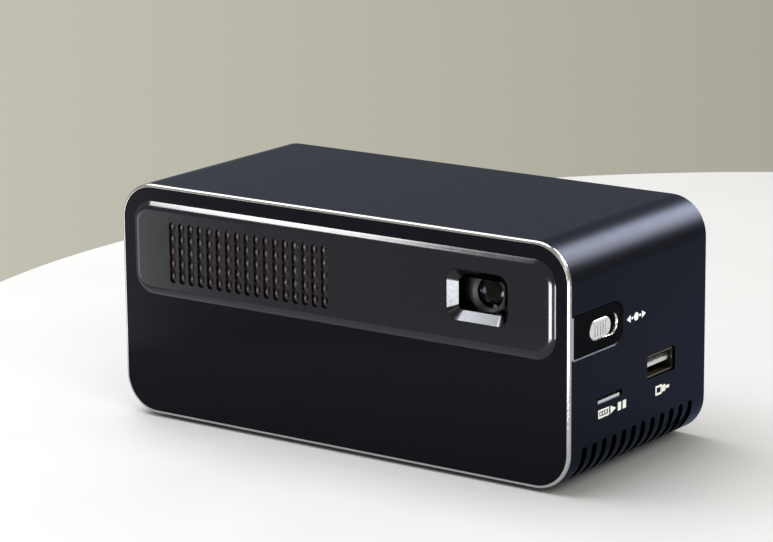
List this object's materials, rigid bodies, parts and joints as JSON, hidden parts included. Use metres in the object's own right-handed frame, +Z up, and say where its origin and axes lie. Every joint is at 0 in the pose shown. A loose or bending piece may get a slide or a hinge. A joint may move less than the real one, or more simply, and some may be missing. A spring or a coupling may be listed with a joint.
{
  "type": "home projector",
  "caption": "Pocket home projector: rounded aluminium sleeve, gloss front with raised fascia, exhaust grille and lens window, side focus slider and ports.",
  "frame": {"origin": "centre of the underside of the bounding box, on the surface the feet stand on", "axes": "+Z up, -Y the way the lens looks, +X towards the side with the focus slider"},
  "size_m": [0.146, 0.0688, 0.066],
  "materials": {
    "sleeve_black": "satin dark anodised",
    "trim_silver": "polished",
    "panel_gloss": "gloss",
    "fascia_gloss": "gloss",
    "mesh_metal": "satin",
    "bezel_silver": "polished dark chrome",
    "back_black": "matte",
    "tab_black": "satin",
    "knob_silver": "satin",
    "rubber_black": "matte",
    "inner_plastic": "matte",
    "lens_black": "black anodised",
    "lens_glass": "clear, coated",
    "cast_metal": "cast",
    "copper": "drawn copper",
    "led_board": "matte",
    "chip_package": "matte",
    "circuit_board": "solder mask",
    "port_shell": "dull plated",
    "steel": "bright",
    "brass": "turned",
    "cone_paper": "pressed paper",
    "cell_foil": "foil laminate",
    "cable_sheath": "satin",
    "port_plastic": "satin",
    "socket_black": "satin",
    "button_black": "satin",
    "ir_lens": "gloss",
    "light_pipe": "frosted"
  },
  "bodies": {
    "casing": {"audio_jack": "socket_black", "back_panel": "back_black", "battery_cells": "cell_foil", "blue_led": "led_board", "board_chips": "chip_package", "board_screws": "steel", "board_standoffs": "brass", "body_sleeve": "sleeve_black", "cables": "cable_sheath", "case_screws": "steel", "chassis_base": "inner_plastic", "condenser_lenses": "lens_glass", "dc_jack": "socket_black", "dichroic_mirrors": "lens_glass", "dmd_board": "circuit_board", "dmd_chip": "chip_package", "driver_board": "circuit_board", "engine_housing": "cast_metal", "engine_lid": "cast_metal", "fan_bearing": "brass", "fan_cover": "inner_plastic", "fan_housing": "inner_plastic", "focus_slot_tray": "bezel_silver", "focus_tab": "tab_black", "front_panel": "panel_gloss", "front_trim_ring": "trim_silver", "green_led": "led_board", "grille_mesh": "mesh_metal", "hdmi_shell": "port_shell", "heat_pipe": "copper", "heat_sink": "cast_metal", "ir_window": "ir_lens", "key_board": "circuit_board", "led_heat_block": "copper", "lens_bezel": "bezel_silver", "lens_fascia": "fascia_gloss", "lens_mount": "lens_black", "main_board": "circuit_board", "micro_sd_socket": "steel", "port_tongues": "port_plastic", "power_switch": "socket_black", "red_led": "led_board", "rubber_feet": "rubber_black", "speaker_cone": "cone_paper", "speaker_frame": "inner_plastic", "status_light_pipe": "light_pipe", "tir_prisms": "lens_glass", "tripod_nut": "brass", "usb_shell": "port_shell"},
    "focus_slider": {"focus_knob": "knob_silver", "focus_carriage": "inner_plastic"},
    "focus_cam": {"focus_ring": "lens_black"},
    "lens_group": {"lens_barrel": "lens_black", "lens_retainer": "lens_black", "front_lens": "lens_glass", "inner_lenses": "lens_glass"},
    "fan_wheel": {"fan_rotor": "inner_plastic", "fan_shaft": "steel"},
    "button": {"power_button": "button_black", "switch_plunger": "socket_black"}
  },
  "joints": [
    {"name": "focus_slide", "type": "slide", "parent": "casing", "child": "focus_slider", "axis": [0, 1, 0], "range_m": [0, 0.0035]},
    {"name": "focus_ring_turn", "type": "hinge", "parent": "casing", "child": "focus_cam", "pos_m": [0.0454, -0.0175, 0.0491], "axis": [0, -1, 0], "range_deg": [0, 8.58]},
    {"name": "lens_focus", "type": "slide", "parent": "casing", "child": "lens_group", "axis": [0, 1, 0], "range_m": [0, 0.0007]},
    {"name": "fan_spin", "type": "hinge", "parent": "casing", "child": "fan_wheel", "pos_m": [-0.029, 0.01, 0.048], "axis": [0, 0, 1], "continuous": true},
    {"name": "power_button_press", "type": "slide", "parent": "casing", "child": "button", "axis": [0, -1, 0], "range_m": [0, 0.0004], "stiffness_N_per_m": 2500}
  ],
  "couplings": [
    {"joint": "focus_ring_turn", "follows": "focus_slide", "rad_per_m": 42.775},
    {"joint": "lens_focus", "follows": "focus_slide", "ratio": 0.2}
  ]
}
